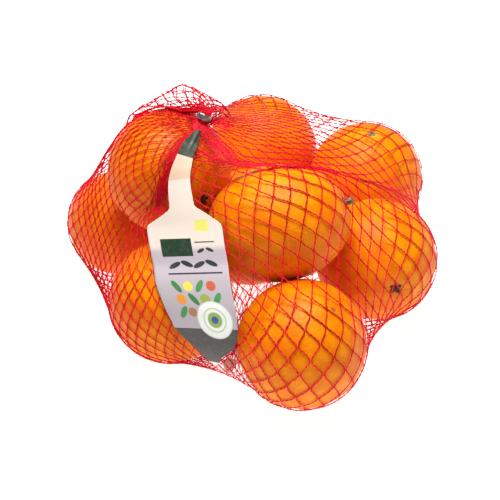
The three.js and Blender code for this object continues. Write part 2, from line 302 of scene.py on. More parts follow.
def bud_material(name, dark, light):
    nodes = Nodes(name, 0.7)
    color = nodes.mix(nodes.fade(nodes.noise(1.4, 4), 0.35, 0.7, 0, 1), dark, light)
    normal = nodes.bump(nodes.noise(0.6, 4), 0.4, 0.8)
    return nodes.finish(color, None, normal)


def clip_material():
    nodes = Nodes("clip_metal", 0.35)
    color = nodes.mix(nodes.fade(nodes.noise(1.2), 0.3, 0.7, 0, 1), (0.20, 0.195, 0.19), (0.36, 0.35, 0.34))
    rough = nodes.fade(nodes.noise(0.8), 0.3, 0.7, 0.28, 0.48)
    return nodes.finish(color, rough, nodes.bump(nodes.noise(0.9), 0.12, 0.5), Metallic=0.9)


strand = strand_material()
metal = clip_material()
BUDS = {
    "button": bud_material("bud_green", (0.11, 0.065, 0.02), (0.40, 0.32, 0.15)),
    "star": bud_material("bud_dark", (0.022, 0.012, 0.008), (0.12, 0.06, 0.03)),
    "stub": bud_material("bud_wood", (0.07, 0.035, 0.015), (0.40, 0.26, 0.14)),
}

# ---- The oranges ----

PEEL_ROWS = 72
PEEL_COLUMNS = 96
PEEL_UNEVEN = 0.35
PRESSED_AT = 1.25
DIMPLE = dict(depth=2.0, reach=4.6, furrow=0.35, furrow_at=6.5, furrow_reach=3.2, furrows=9)
SCAR = dict(depth=0.5, reach=2.0)


def make_fruit(name):
    """A sphere or oval whose poles are its stem and its blossom scar: uneven, dimpled at the stem and
    pressed flat on the ground."""
    centre, radius, axis, stretch = fruit_form(name)
    stem = unit(FRUIT[name]["stem"])
    side = unit(np.cross(stem, (0.31, 0.52, 0.8)))
    other = np.cross(stem, side)
    fall = np.pi * (1 - np.cos(np.pi * np.arange(1, PEEL_ROWS) / PEEL_ROWS)) / 2
    turn = np.arange(PEEL_COLUMNS) / PEEL_COLUMNS * 2 * np.pi
    spokes = np.cos(turn)[:, None] * side + np.sin(turn)[:, None] * other
    rings = np.cos(fall)[:, None, None] * stem + np.sin(fall)[:, None, None] * spokes
    directions = np.concatenate([[stem], rings.reshape(-1, 3), [-stem]])
    from_stem = np.concatenate([[0], np.repeat(fall, PEEL_COLUMNS), [np.pi]]) * radius
    from_scar = np.pi * radius - from_stem
    around = np.concatenate([[0], np.tile(turn, PEEL_ROWS - 1), [0]])
    sink = PEEL_UNEVEN * (0.5 + 0.5 * np.clip(ripple(directions, 9, 2, 7), -1, 1))
    sink = sink + DIMPLE["depth"] * np.exp(-((from_stem / DIMPLE["reach"]) ** 2))
    near_furrows = np.exp(-(((from_stem - DIMPLE["furrow_at"]) / DIMPLE["furrow_reach"]) ** 2))
    wave = 0.5 + 0.5 * np.cos(DIMPLE["furrows"] * around + 1.4 * np.sin(2 * around))
    sink = sink + DIMPLE["furrow"] * near_furrows * wave
    sink = sink + SCAR["depth"] * np.exp(-((from_scar / SCAR["reach"]) ** 2))
    body = directions + np.outer(directions @ axis * (stretch - 1), axis)
    points = centre + body * (radius - sink)[:, None]
    points[:, 2] = np.maximum(points[:, 2], PRESSED_AT)
    faces = skin_faces(PEEL_ROWS - 1, PEEL_COLUMNS)
    piece = new_object("orange_" + name, points, faces, peel_material(name, FRUIT[name]["tone"]))
    store(piece, "stem", from_stem)
    store(piece, "scar", from_scar)
    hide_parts("net_of_oranges")
    make_bud(name, points[0], stem, side, other)


# Each profile is a list of (distance from the axis, height, how much the lobes show there).
BUD_FORMS = {
    "button": dict(
        lobes=5,
        profile=(
            (0.5, 1.1, 0), (0.9, 1.0, 0), (1.2, 0.5, 0), (2.0, 0.55, 0.2), (2.9, 0.45, 0.5), (3.1, 0.1, 0.6),
            (1.5, -0.8, 0),
        ),
    ),
    "star": dict(
        lobes=5,
        profile=(
            (0.5, 1.6, 0), (0.9, 1.5, 0), (1.1, 0.6, 0), (1.9, 0.9, 0.4), (3.0, 1.2, 0.9), (3.1, 0.7, 1.0),
            (1.2, -0.8, 0),
        ),
    ),
    "stub": dict(
        lobes=4,
        profile=(
            (0.6, 6.4, 0.1), (1.5, 6.0, 0.3), (1.7, 4.0, 0.1), (1.6, 2.0, 0.1), (2.2, 1.0, 0.3), (3.6, 0.8, 0.6),
            (3.7, 0.3, 0.6), (1.5, -0.8, 0),
        ),
    ),
}
BUD_SIDES = 40


def make_bud(name, foot, stem, side, other):
    """The woody stem end with its lobed collar, sitting in the dimple."""
    form = BUD_FORMS[FRUIT[name]["bud"]]
    profile = np.array(form["profile"])
    turn = np.arange(BUD_SIDES) / BUD_SIDES * 2 * np.pi
    lobe = np.cos(form["lobes"] * turn + 0.8 * np.sin(turn + 1))
    reach = profile[:, :1] * (1 + 0.06 * rng.standard_normal((len(profile), BUD_SIDES))) + profile[:, 2:] * lobe * 0.9
    height = profile[:, 1:2] + 0.12 * rng.standard_normal((len(profile), BUD_SIDES)) + profile[:, 2:] * lobe * 0.25
    spokes = np.cos(turn)[:, None] * side + np.sin(turn)[:, None] * other
    rings = foot + spokes * reach[..., None] + stem * height[..., None]
    top = foot + stem * profile[0, 1]
    bottom = foot + stem * profile[-1, 1]
    points = np.concatenate([[top], rings.reshape(-1, 3), [bottom]])
    faces = skin_faces(len(profile), BUD_SIDES)
    piece = new_object("stem_" + name, points, faces, BUDS[FRUIT[name]["bud"]])
    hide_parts("net_of_oranges")


for fruit_name in FRUIT:
    make_fruit(fruit_name)

# ---- The label: a die-cut band that runs from the top clip down the front to the lower one ----

# A station's place on the centre line, and the direction across the label there.
LABEL_ROUTE = (
    ((-31, -9.5, 128.2), (1, 0.3, -0.3)),
    ((-34.3, -18.2, 126.3), (1, 0, -0.3)),
    ((-37.6, -26.4, 122.4), (1, -0.1, -0.3)),
    ((-40.8, -36.5, 113.4), (1, 0, 0.15)),
    ((-39.2, -48.7, 101.2), (1, -0.15, 0.27)),
    ((-38, -55.5, 94), (1, -0.25, 0.24)),
    ((-36, -66, 85.6), (1, -0.25, 0.26)),
    ((-31.4, -81.5, 73), (1, -0.25, 0.25)),
    ((-26.4, -92.5, 62.5), (1, -0.3, 0.27)),
    ((-24.3, -99.5, 53.5), (1, -0.35, 0.28)),
    ((-22, -104, 45), (1, -0.4, 0.28)),
    ((-20.5, -105, 36), (1, -0.45, 0.2)),
    ((-19, -103.6, 28), (1, -0.45, 0.1)),
    ((-16, -97, 16), (1, -0.45, 0)),
    ((-13.5, -88, 9), (1, -0.45, 0)),
    ((-11, -77, 7.5), (1, -0.4, 0)),
)
LABEL_SHIFT = np.array([1.1, 0.2, 0])
# The distance along the label, and its reach to the left and to the right there.
LABEL_OUTLINE = np.array(
    (
        (0, 1.7, 1.7), (9, 4.3, 4.3), (19, 4.7, 4.7), (33, 6.3, 6.3), (47.5, 7.3, 7.3), (49.2, 7.6, 7.6),
        (50.6, 8.9, 8.9), (58.2, 21.0, 21.0), (59.4, 22.3, 22.3), (61.0, 23.0, 23.0), (63.0, 23.2, 23.2),
        (94, 22.7, 22.7), (110, 21.7, 21.7), (121, 19.3, 20.3), (126.5, 15.7, 18.5), (132, 10.9, 14.6),
        (137, 7, 6.6), (142, 3.5, 3.5), (1000, 3.5, 3.5),
    )
)
LABEL = dict(thickness=0.3, row=1.1, columns=44, clearance=1.3, probe=40, wave=0.22)
# The label's lower end goes in under the netting: from where, over what length, and how deep.
LABEL_TUCK = dict(start=141, over=8, depth=3.2)
# A crease runs down the top of the strap: how high, how wide, how far right of the middle, and to where.
LABEL_CREASE = dict(height=0.9, width=0.8, at=0.9, end=17)
ROUTE_PARTS = 1200
SMALL_GAP = 1e-4


def centripetal(points, part):
    """A smooth curve through points, at a part of its way from 0 to 1 that is spread over the spans."""
    spans = len(points) - 1
    place = min(max(part, 0), 1) * spans
    span = min(int(place), spans - 1)
    weight = place - span
    start, end = points[span], points[span + 1]
    before = points[span - 1] if span > 0 else 2 * start - end
    after = points[span + 2] if span + 2 <= spans else 2 * end - start
    gaps = [math.sqrt(np.linalg.norm(b - a)) for a, b in ((before, start), (start, end), (end, after))]
    gaps[1] = gaps[1] if gaps[1] > SMALL_GAP else 1.0
    gaps = [gap if gap > SMALL_GAP else gaps[1] for gap in gaps]
    out_slope = (start - before) / gaps[0] - (end - before) / (gaps[0] + gaps[1]) + (end - start) / gaps[1]
    in_slope = (end - start) / gaps[1] - (after - start) / (gaps[1] + gaps[2]) + (after - end) / gaps[2]
    w2, w3 = weight**2, weight**3
    return (
        (2 * w3 - 3 * w2 + 1) * start
        + (w3 - 2 * w2 + weight) * out_slope * gaps[1]
        + (3 * w2 - 2 * w3) * end
        + (w3 - w2) * in_slope * gaps[1]
    )


def net_solid_tree():
    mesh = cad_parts["net_of_oranges"].data
    corners = [tuple(vertex.co / MM) for vertex in mesh.vertices]
    return BVHTree.FromPolygons(corners, [tuple(face.vertices) for face in mesh.polygons])


def net_height(tree, point, outward):
    """How far the net's solid stands above a point along an outward direction."""
    start = point + outward * LABEL["probe"]
    hit = tree.ray_cast(Vector(start), Vector(-outward), 1.5 * LABEL["probe"])
    return -LABEL["probe"] if hit[0] is None else LABEL["probe"] - hit[3]


def label_rows():
    """The label's centre sheet as rows of points, with each point's distance along and across it."""
    places = np.array([station[0] for station in LABEL_ROUTE], float) + LABEL_SHIFT
    across = np.array([station[1] for station in LABEL_ROUTE], float)
    parts = np.linspace(0, 1, ROUTE_PARTS)
    line = np.array([centripetal(places, part) for part in parts])
    run = np.concatenate([[0], np.linalg.norm(np.diff(line, axis=0), axis=1).cumsum()])
    corners = LABEL_OUTLINE[:, 0]
    corners = np.append(corners[corners < run[-1]], run[-1])
    stops = [run[-1]]
    for start, end in zip(corners[:-1], corners[1:]):
        stops.extend(np.linspace(start, end, math.ceil((end - start) / LABEL["row"]), endpoint=False))
    stops = np.sort(stops)
    tree = net_solid_tree()
    spread = np.linspace(0, 1, LABEL["columns"] + 1)
    rows, ways, lifts, reaches = [], [], [], []
    for stop in stops:
        part = np.interp(stop, run, parts)
        tangent = unit(centripetal(places, part + 0.002) - centripetal(places, part - 0.002))
        sideways = unit(centripetal(across, part))
        outward = unit(np.cross(tangent, sideways))
        left = np.interp(stop, LABEL_OUTLINE[:, 0], LABEL_OUTLINE[:, 1])
        right = np.interp(stop, LABEL_OUTLINE[:, 0], LABEL_OUTLINE[:, 2])
        reach = -left + (left + right) * spread
        row = centripetal(places, part) + reach[:, None] * sideways
        highest = max(net_height(tree, point, outward) for point in row[:: LABEL["columns"] // 6])
        rows.append(row)
        ways.append(outward)
        lifts.append(max(highest + LABEL["clearance"], 0))
        reaches.append(reach)
    rows, ways, reaches = np.array(rows), np.array(ways), np.array(reaches)
    lifts = np.convolve(np.pad(lifts, 3, mode="edge"), np.array([1, 2, 3, 4, 3, 2, 1]) / 16, mode="valid")
    along = np.broadcast_to(stops[:, None], reaches.shape)
    wave = LABEL["wave"] * ripple(np.stack([along / 9, reaches / 12], -1), 5, 0.6, 1.6)
    crease = np.exp(-(((reaches - LABEL_CREASE["at"]) / LABEL_CREASE["width"]) ** 2))
    wave = wave + LABEL_CREASE["height"] * crease * np.clip(1 - along / LABEL_CREASE["end"], 0, 1)
    tuck = LABEL_TUCK["depth"] * smooth_step(along, LABEL_TUCK["start"], LABEL_TUCK["start"] + LABEL_TUCK["over"])
    rows = rows + ways[:, None] * (lifts[:, None] + wave - tuck)[..., None]
    return rows, ways, along, reaches


LABEL_ROWS = label_rows()


def label_sheet():
    """The label's stations: the middle of each row, its directions, and its reach to both sides."""
    rows, outward, along, reaches = LABEL_ROWS
    left, right = -reaches[:, 0], reaches[:, -1]
    sideways = unit(rows[:, -1] - rows[:, 0])
    middle = rows[:, 0] + sideways * left[:, None]
    return dict(middle=middle, outward=outward, sideways=sideways, left=left, right=right, along=along[:, 0])


LABEL_SHEET = label_sheet()


def make_label():
    rows, _, along, reaches = LABEL_ROWS
    count, columns = rows.shape[:2]
    down = np.gradient(rows, axis=0)
    over = np.gradient(rows, axis=1)
    normals = unit(np.cross(down, over))
    points = np.concatenate([rows + normals * LABEL["thickness"] / 2, rows - normals * LABEL["thickness"] / 2])
    index = np.arange(count * columns).reshape(count, columns)
    quads = np.stack([index[:-1, :-1], index[1:, :-1], index[1:, 1:], index[:-1, 1:]], -1).reshape(-1, 4)
    behind = quads[:, ::-1] + count * columns
    rim = np.concatenate([index[0, :-1], index[:-1, -1], index[-1, :0:-1], index[:0:-1, 0]])
    after = np.roll(rim, -1)
    edge = np.stack([rim, after, after + count * columns, rim + count * columns], -1)
    faces = np.concatenate([quads, behind, edge]).tolist()
    piece = new_object("label_band", points.reshape(-1, 3), faces, label_material())
    store(piece, "along", np.concatenate([along, along]))
    store(piece, "across", np.concatenate([reaches, reaches]))
    store(piece, "face", np.concatenate([np.ones(along.size), np.zeros(along.size)]))
    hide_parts("label")


# The plain print: coloured fields along the label, then generic shapes on its face. The last field is not print
# but painted light: a whiter colour that lifts the shaded tucked end. Places are (distance along, distance to the
# right), both in millimetres.
CREAM = (0.76, 0.65, 0.56)
PEACH = (0.72, 0.52, 0.38)
LAVENDER = (0.48, 0.42, 0.455)
DARK_GREEN = (0.022, 0.034, 0.018)
BAND_GREEN = (0.018, 0.045, 0.024)
FOOT_GREY = (0.085, 0.078, 0.072)
# Paler than the label's own paper and print: painted light that lifts the tucked end, which lies in shade.
PAINTED_LIGHT_TUCKED_END = (0.90, 0.86, 0.84)
PAPER = (0.80, 0.79, 0.77)
INK = (0.03, 0.035, 0.04)
YELLOW = (0.74, 0.70, 0.15)
LEAF = (0.05, 0.22, 0.07)
PALE_LEAF = (0.07, 0.28, 0.09)
SEAL_WHITE = (0.86, 0.87, 0.83)
# Each field: where it starts, how softly, and its colour.
FIELDS = (
    (19, 0.12, PEACH), (33, 0.4, CREAM), (73.5, 2.5, LAVENDER), (120.5, 0.12, FOOT_GREY), (143, 0.5, PAINTED_LIGHT_TUCKED_END),
)
# Each box: from where to where along the label, from where to where across it, and its colour.
BOXES = (
    (67.5, 78, -16, 3, BAND_GREEN),
    (69.6, 70.3, 5, 17, INK),
    (88, 89, -14, 19, INK),
    (57, 63.5, 6.5, 14.5, YELLOW),
)
# Each oval: its middle, its reach along and across, its turn in degrees, and its colour.
OVALS = (
    (83.3, -9.5, 1.5, 3.9, 25, INK),
    (82.6, -2.0, 1.5, 3.9, -25, INK),
    (83.3, 5.5, 1.5, 3.9, 25, INK),
    (82.6, 13.0, 1.5, 3.9, -25, INK),
    (75.0, 8.0, 1.0, 2.5, 25, INK),
    (74.6, 13.5, 1.0, 2.5, -25, INK),
    (96.0, -10.5, 4.2, 1.7, 35, LEAF),
    (96.0, -3.5, 2.9, 2.9, 0, (0.88, 0.66, 0.10)),
    (96.0, 3.5, 4.2, 1.7, -35, PALE_LEAF),
    (96.0, 10.5, 2.9, 2.9, 0, (0.58, 0.12, 0.06)),
    (103.5, -9.5, 3.0, 3.0, 0, (0.80, 0.30, 0.04)),
    (103.5, -2.0, 4.2, 1.7, 35, LEAF),
    (103.5, 5.0, 3.0, 3.0, 0, (0.32, 0.40, 0.08)),
    (103.5, 12.5, 4.2, 1.7, -35, PALE_LEAF),
    (111.0, -10.5, 4.2, 1.7, -35, PALE_LEAF),
    (111.0, -5.0, 2.7, 2.7, 0, (0.42, 0.20, 0.10)),
    (115.5, 7.5, 10.8, 10.8, 0, (0.66, 0.66, 0.62)),
    (115.5, 7.5, 10.2, 10.2, 0, SEAL_WHITE),
    (115.5, 7.5, 7.0, 7.0, 0, (0.50, 0.62, 0.30)),
    (115.5, 7.5, 6.3, 6.3, 0, SEAL_WHITE),
    (115.5, 7.5, 4.4, 4.4, 0, (0.28, 0.45, 0.12)),
    (115.5, 7.5, 2.1, 2.1, 0, (0.06, 0.10, 0.32)),
)
PRINT_EDGE = 0.12


def label_material():
    nodes = Nodes("label_print", 0.42)
    along, across = nodes.attribute("along"), nodes.attribute("across")

    def inside(distance):
        """1 where a distance is below 0, with a narrow soft edge."""
        return nodes.fade(distance, -PRINT_EDGE, PRINT_EDGE, 1, 0)

    color = nodes.mix(nodes.fade(nodes.noise(6), 0.3, 0.7, 0, 1), DARK_GREEN, blend(DARK_GREEN, (0.1, 0.12, 0.09), 0.5))
    for start, soft, tint in FIELDS:
        color = nodes.mix(nodes.fade(along, start - soft, start + soft, 0, 1), color, tint)
    for low, high, left, right, tint in BOXES:
        over = nodes.math("ABSOLUTE", nodes.math("SUBTRACT", along, (low + high) / 2))
        beside = nodes.math("ABSOLUTE", nodes.math("SUBTRACT", across, (left + right) / 2))
        over = nodes.math("SUBTRACT", over, (high - low) / 2)
        beside = nodes.math("SUBTRACT", beside, (right - left) / 2)
        color = nodes.mix(inside(nodes.math("MAXIMUM", over, beside)), color, tint)
    for at_along, at_across, reach_along, reach_across, turn, tint in OVALS:
        cos, sin = math.cos(math.radians(turn)), math.sin(math.radians(turn))
        over = nodes.math("SUBTRACT", along, at_along)
        beside = nodes.math("SUBTRACT", across, at_across)
        first = nodes.math("MULTIPLY", beside, sin / reach_along)
        first = nodes.math("MULTIPLY_ADD", over, cos / reach_along, first)
        second = nodes.math("MULTIPLY", beside, cos / reach_across)
        second = nodes.math("MULTIPLY_ADD", over, -sin / reach_across, second)
        reach = nodes.math("MULTIPLY_ADD", first, first, nodes.math("MULTIPLY", second, second))
        reach = nodes.math("SUBTRACT", nodes.math("SQRT", reach), 1.0)
        reach = nodes.math("MULTIPLY", reach, min(reach_along, reach_across))
        color = nodes.mix(inside(reach), color, tint)
    color = nodes.mix(nodes.attribute("face"), PAPER, color)
    color = nodes.mix(nodes.fade(nodes.noise(3), 0.4, 0.8, 0, 0.06), color, (0.55, 0.5, 0.45))
    rough = nodes.fade(nodes.noise(7), 0.3, 0.7, 0.36, 0.5)
    normal = nodes.bump(nodes.noise(0.8), 0.03, 0.5, nodes.bump(nodes.noise(11, 2), 0.5, 0.4))
    return nodes.finish(color, rough, normal, Specular_IOR_Level=0.22)


make_label()

# ---- The netting, drawn taut over the pile ----

COLUMNS = 64
ROWS = 46
NET_LIFT = 0.7
NET_ROUNDS = 1500
NET_START = 150
STRAND_UNEVEN = 0.07
SOFT_PULL = dict(beyond=4.2, strength=0.075)
STIFF_PULL = dict(beyond=8.2, strength=0.155)
LOOSER_LOW = dict(below=32, by=0.3)
FOLDS_FROM = 200
ENDS_HELD_BY = 200
# Where slack netting is drawn together: the pleat behind the oval fruit, the pinch at that fruit's
# stem, and the bundle beside the label's strap.
FOLDS = (
    dict(
        line=(
            (-5, -30, 118.5), (15, -31, 119.5), (30, -29, 118), (45, -23.5, 111), (60.5, -15.5, 99.5),
            (75, -7, 88.5), (90, 2.5, 75), (103, 14, 60),
        ),
        reach=15,
        strength=0.15,
    ),
    dict(line=((60.5, -38.6, 103.5), (60.6, -38.6, 103.5)), reach=13, strength=0.12),
    dict(line=((-32, -14, 124), (-44, -30, 117.5), (-50, -39, 96)), reach=20, strength=0.035),
)
# The strands leave the top gather as an even fan, in slight bundles.
FAN = dict(reach=85, strength=0.03, folds=14, uneven=1.3, swing=0.035)


def net_neighbours():
    """For each knot, its neighbours in the rows above and below, or itself where there is none."""
    index = np.arange(ROWS * COLUMNS).reshape(ROWS, COLUMNS)
    near = np.empty((ROWS, COLUMNS, 4), int)
    for row in range(ROWS):
        turn = 1 if row % 2 == 0 else -1
        for slot, other in ((0, row - 1), (2, row + 1)):
            if 0 <= other < ROWS:
                near[row, :, slot] = index[other]
                near[row, :, slot + 1] = np.roll(index[other], turn)
            else:
                near[row, :, slot] = near[row, :, slot + 1] = index[row]
    return near.reshape(-1, 4)


def strand_lengths():
    """Each strand's share of the usual length, laid out as net_neighbours lists the strands."""
    down = 1 + STRAND_UNEVEN * rng.standard_normal((ROWS, COLUMNS, 2))
    lengths = np.ones((ROWS, COLUMNS, 4))
    lengths[:, :, 2:] = down
    for row in range(ROWS):
        turn = 1 if row % 2 == 0 else -1
        lengths[row, :, 0] = down[row - 1, :, 0]
        lengths[row, :, 1] = np.roll(down[row - 1, :, 1], turn)
    return lengths.reshape(-1, 4)


def ring_round(gather, radius, arms, distance):
    """A ring of points round a gather's neck, each on the side that its arm points to."""
    axis, across, other = gather_axes(gather)
    turn = np.arctan2(arms @ other, arms @ across)
    spoke = np.cos(turn)[:, None] * across + np.sin(turn)[:, None] * other
    return gather["at"] + axis * distance + spoke * radius


def pull_into_fold(points, fold):
    """Moves points near a fold's line a little toward it."""
    line = np.array(fold["line"], float)
    best = np.full(len(points), np.inf)
    target = points.copy()
    for start, end in zip(line[:-1], line[1:]):
        step = end - start
        part = np.clip((points - start) @ step / (step @ step), 0, 1)
        foot = start + part[:, None] * step
        reach = np.linalg.norm(points - foot, axis=1)
        closer = reach < best
        best[closer] = reach[closer]
        target[closer] = foot[closer]
    weight = fold["strength"] * np.clip(1 - best / fold["reach"], 0, 1)
    return points + (target - points) * weight[:, None]


def starting_spokes(row):
    """The directions of a row's knots round the line through both gathers."""
    axis = unit(TOP_GATHER["at"] - UNDER_GATHER["at"])
    across = unit(np.cross(axis, (0, 0, 1)))
    turn = (np.arange(COLUMNS) + 0.5 * (row % 2)) / COLUMNS * 2 * np.pi
    return axis, np.cos(turn)[:, None] * across + np.sin(turn)[:, None] * np.cross(axis, across)


def fan_turns():
    """The direction round the top gather that each knot keeps to."""
    _, across, other = gather_axes(TOP_GATHER)
    turns = []
    for row in range(ROWS):
        spokes = starting_spokes(row)[1]
        turn = np.arctan2(spokes @ other, spokes @ across)
        turns.append(turn + FAN["swing"] * np.sin(FAN["folds"] * turn + FAN["uneven"] * np.sin(3 * turn)))
    return np.concatenate(turns)


def hold_fan(points, turns):
    """Turns the knots near the top gather a little toward the directions that they keep to."""
    _, across, other = gather_axes(TOP_GATHER)
    arm = points - TOP_GATHER["at"]
    x, y = arm @ across, arm @ other
    apart = (turns - np.arctan2(y, x) + np.pi) % (2 * np.pi) - np.pi
    near = FAN["strength"] * np.clip(1 - np.linalg.norm(arm, axis=1) / FAN["reach"], 0, 1)
    return points + (x[:, None] * other - y[:, None] * across) * (apart * near)[:, None]


# The netting passes below the label's sheet, and beside it may rise by the slope, out to the reach.
LABEL_PRESS = dict(below=0.95, slope=0.45, reach=22, top=2.5, tip=139, tip_slope=1.2, left=-85, right=25)


def press_under_label(points):
    """Moves points that stand above the label, or close beside it, in under its sheet."""
    near = (points[:, 1] < 0) & (points[:, 0] > LABEL_PRESS["left"]) & (points[:, 0] < LABEL_PRESS["right"])
    picked = points[near]
    station = LABEL_SHEET["middle"]
    apart = ((picked[:, None] - station[None]) ** 2).sum(-1)
    k = apart.argmin(1)
    arm = picked - station[k]
    height = (arm * LABEL_SHEET["outward"][k]).sum(1)
    aside = (arm * LABEL_SHEET["sideways"][k]).sum(1)
    beyond = np.maximum(np.maximum(aside - LABEL_SHEET["right"][k], -LABEL_SHEET["left"][k] - aside), 0)
    along = LABEL_SHEET["along"][k]
    limit = LABEL_PRESS["slope"] * beyond - LABEL_PRESS["below"]
    limit = limit + np.maximum(along - LABEL_PRESS["tip"], 0) * LABEL_PRESS["tip_slope"]
    over = height - limit
    moved = (over > 0) & (beyond < LABEL_PRESS["reach"]) & (along > LABEL_PRESS["top"])
    picked[moved] -= LABEL_SHEET["outward"][k][moved] * over[moved][:, None]
    points[near] = picked
    return points


def drape_net():
    """Rows of knots from the top gather to the lower one: a wide ball of net that is drawn taut."""
    points = np.empty((ROWS, COLUMNS, 3))
    for row in range(ROWS):
        axis, spokes = starting_spokes(row)
        fall = np.pi * (0.02 + 0.96 * row / (ROWS - 1))
        points[row] = PILE_MIDDLE + NET_START * (np.cos(fall) * axis + np.sin(fall) * spokes)
    top = ring_round(TOP_GATHER, NECK_RADIUS - 0.4, points[0] - PILE_MIDDLE, NECK_RISE)
    under = ring_round(UNDER_GATHER, NECK_RADIUS - 0.4, points[-1] - PILE_MIDDLE, NECK_RISE)
    points = points.reshape(-1, 3)
    near = net_neighbours()
    linked = near != np.arange(len(points))[:, None]
    share = strand_lengths()
    turns = fan_turns()
    for round_number in range(NET_ROUNDS):
        arm = points[near] - points[:, None]
        length = np.linalg.norm(arm, axis=-1) + 1e-9
        low = np.clip(1 - points[:, 2] / LOOSER_LOW["below"], 0, 1)[:, None]
        most = STIFF_PULL["beyond"] * share * (1 + LOOSER_LOW["by"] * low)
        pull = SOFT_PULL["strength"] * np.maximum(length - SOFT_PULL["beyond"], 0)
        pull = pull + STIFF_PULL["strength"] * np.maximum(length - most, 0)
        pull = np.where(linked, pull, 0)
        points = points + (arm / length[..., None] * pull[..., None]).sum(1)
        if round_number > FOLDS_FROM:
            for fold in FOLDS:
                points = pull_into_fold(points, fold)
            points = hold_fan(points, turns)
            points = press_under_label(points)
        points = push_out(lift_on_bridges(points, NET_LIFT), NET_LIFT)
        points[:, 2] = np.maximum(points[:, 2], NET_LIFT)
        hold = min(1, 0.02 + round_number / ENDS_HELD_BY)
        points[:COLUMNS] += (top - points[:COLUMNS]) * hold
        points[-COLUMNS:] += (under - points[-COLUMNS:]) * hold
    return points.reshape(ROWS, COLUMNS, 3)


# ---- Strands: chains of two twisted threads, joined side by side at the knots ----

JOINT = dict(half=0.85, apart=0.36, part=0.16)
SPAN_STEPS = 6
SPAN_BOW = 0.4
STRAND_CLEAR = 0.68
# Each thread's radius, its distance from the chain's middle, and the length of one turn.
THREAD = dict(radius=0.27, wind=0.26, pitch=5.5, sides=3)
TIGHTEN = dict(below=8.5, least=0.7)


def chain_paths(net):
    """The knitted chains of a closed tube of knots. Each runs its whole length and is joined to the
    chain on one side of it at one knot, and to the chain on the other side at the next."""
    rows, columns = net.shape[:2]
    ahead = np.empty_like(net)
    for row in range(rows):
        turn = 1 if row % 2 == 0 else -1
        above, below = net[max(row - 1, 0)], net[min(row + 1, rows - 1)]
        ahead[row] = below + np.roll(below, turn, axis=0) - above - np.roll(above, turn, axis=0)
    ahead = unit(ahead)
    which_row = np.arange(rows)
    knots, ways = [], []
    for column in range(columns):
        for shift in (1, 0):
            which = np.where(which_row % 2 == 0, column, (column - shift) % columns)
            knots.append(net[which_row, which])
            ways.append(ahead[which_row, which])
    knots, ways = np.array(knots), np.array(ways)
    toward = np.zeros_like(knots)
    toward[:, 1:-1] = (knots[:, 2:] + knots[:, :-2]) / 2 - knots[:, 1:-1]
    toward -= ways * (toward * ways).sum(-1, keepdims=True)
    aside = toward / (np.linalg.norm(toward, axis=-1, keepdims=True) + 0.3) * JOINT["apart"]
    span = np.linalg.norm(np.diff(knots, axis=1), axis=-1)
    span = np.concatenate([span, span[:, -1:]], 1)
    half = np.minimum(JOINT["half"], JOINT["part"] * span)[..., None]
    into, middle, out_of = knots - ways * half + aside, knots + aside, knots + ways * half + aside
    steps = np.arange(1, SPAN_STEPS) / SPAN_STEPS
    line = out_of[:, :-1, None] + (into[:, 1:, None] - out_of[:, :-1, None]) * steps[:, None]
    bow = rng.standard_normal(line.shape[:2])[..., None, None] * unit(toward[:, :-1, None] + 1e-3)
    line = line + bow * (SPAN_BOW * np.sin(np.pi * steps))[:, None]
    joints = np.stack([into, middle, out_of], 2)
    paths = np.concatenate([joints[:, :-1], line], 2).reshape(len(knots), -1, 3)
    paths = np.concatenate([paths, joints[:, -1]], 1)
    for _ in range(2):
        paths[:, 1:-1] = (paths[:, :-2] + 2 * paths[:, 1:-1] + paths[:, 2:]) / 4
    return paths


def path_frames(paths):
    """Two directions across each path at each of its points."""
    ahead = np.empty_like(paths)
    ahead[:, 1:-1] = paths[:, 2:] - paths[:, :-2]
    ahead[:, 0] = paths[:, 1] - paths[:, 0]
    ahead[:, -1] = paths[:, -1] - paths[:, -2]
    ahead = unit(ahead)
    side = unit(np.cross(ahead, unit(paths - PILE_MIDDLE)))
    return side, np.cross(side, ahead)


def tubes(paths, radius, sides, kept=None):
    """Thin tubes along paths of equal length, narrowed at their ends: paths by points by 3. Kept says how
    many points of each path to use."""
    count, steps = paths.shape[:2]
    side, up = path_frames(paths)
    radii = np.broadcast_to(radius, (count, steps)).copy()
    radii[:, [0, -1]] *= 0.4
    turn = np.arange(sides) / sides * 2 * np.pi
    ring = side[:, :, None] * np.cos(turn)[:, None] + up[:, :, None] * np.sin(turn)[:, None]
    vertices = (paths[:, :, None] + ring * radii[:, :, None, None]).reshape(-1, 3)
    start = (np.arange(count)[:, None] * steps + np.arange(steps - 1)[None]).reshape(-1, 1) * sides
    here = np.arange(sides)[None]
    after = (here + 1) % sides
    quads = np.stack([start + here, start + after, start + sides + after, start + sides + here], -1)
    if kept is None:
        return vertices, quads.reshape(-1, 4).tolist()
    used = (np.arange(steps - 1)[None] < kept[:, None] - 1).reshape(-1)
    quads = quads[used].reshape(-1, 4)
    which = np.unique(quads)
    return vertices[which], np.searchsorted(which, quads).tolist()


def tightness(paths):
    """How much of their full width the chains keep, less where they lie close together."""
    apart = np.linalg.norm(np.roll(paths, -2, axis=0) - paths, axis=-1)
    return np.clip(apart / TIGHTEN["below"], TIGHTEN["least"], 1)


def twisted_threads(paths, tight):
    """Two threads wound round each other along each path."""
    side, up = path_frames(paths)
    run = np.linalg.norm(np.diff(paths, axis=1), axis=-1).cumsum(1)
    run = np.concatenate([np.zeros((len(paths), 1)), run], 1)
    pitch = THREAD["pitch"] * rng.uniform(0.8, 1.25, (len(paths), 1))
    turn = rng.uniform(0, 2 * np.pi, (len(paths), 1)) + 2 * np.pi * run / pitch
    wind = (side * np.cos(turn)[..., None] + up * np.sin(turn)[..., None]) * (THREAD["wind"] * tight)[..., None]
    return np.concatenate([paths + wind, paths - wind])


def make_netting(name, paths, node, kept=None, tight=1.0):
    kept = None if kept is None else np.concatenate([kept, kept])
    tight = np.broadcast_to(tight, paths.shape[:2])
    radius = THREAD["radius"] * np.concatenate([tight, tight])
    vertices, quads = tubes(twisted_threads(paths, tight), radius, THREAD["sides"], kept)
    piece = new_object(name, vertices, quads, strand)
    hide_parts(node)


